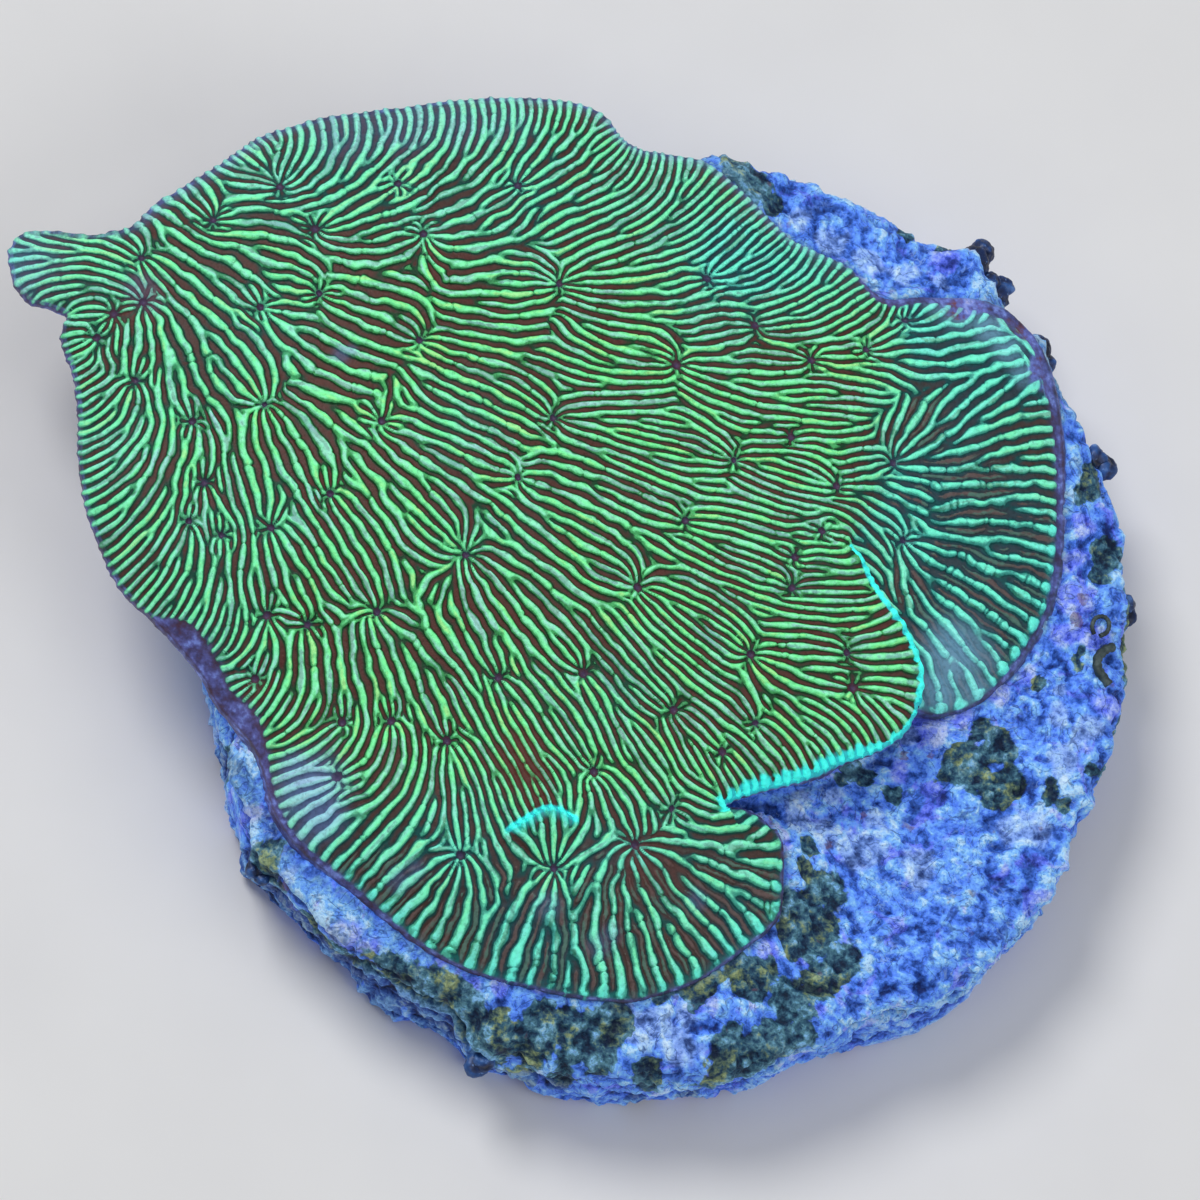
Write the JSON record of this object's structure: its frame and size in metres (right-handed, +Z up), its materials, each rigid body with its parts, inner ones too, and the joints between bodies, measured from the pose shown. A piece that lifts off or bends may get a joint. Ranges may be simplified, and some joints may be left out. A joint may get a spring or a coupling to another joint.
{
  "type": "pavona coral",
  "caption": "Living-edge pavona coral plate with radiating ridges, grown over a round flat frag disc that it rests on.",
  "frame": {"origin": "centre of the disc's flat underside", "axes": "+Z up through the disc; the colony's spur points towards -X, +Y"},
  "size_m": [0.0379, 0.0329, 0.0097],
  "materials": {
    "crusted_disc": "rough mineral crust, violet-blue with dark patches",
    "coral_skeleton": "satin, bright green ridges over maroon-brown grooves"
  },
  "bodies": {
    "root": {"frag_disc": "crusted_disc", "coral_colony": "coral_skeleton"}
  },
  "joints": []
}
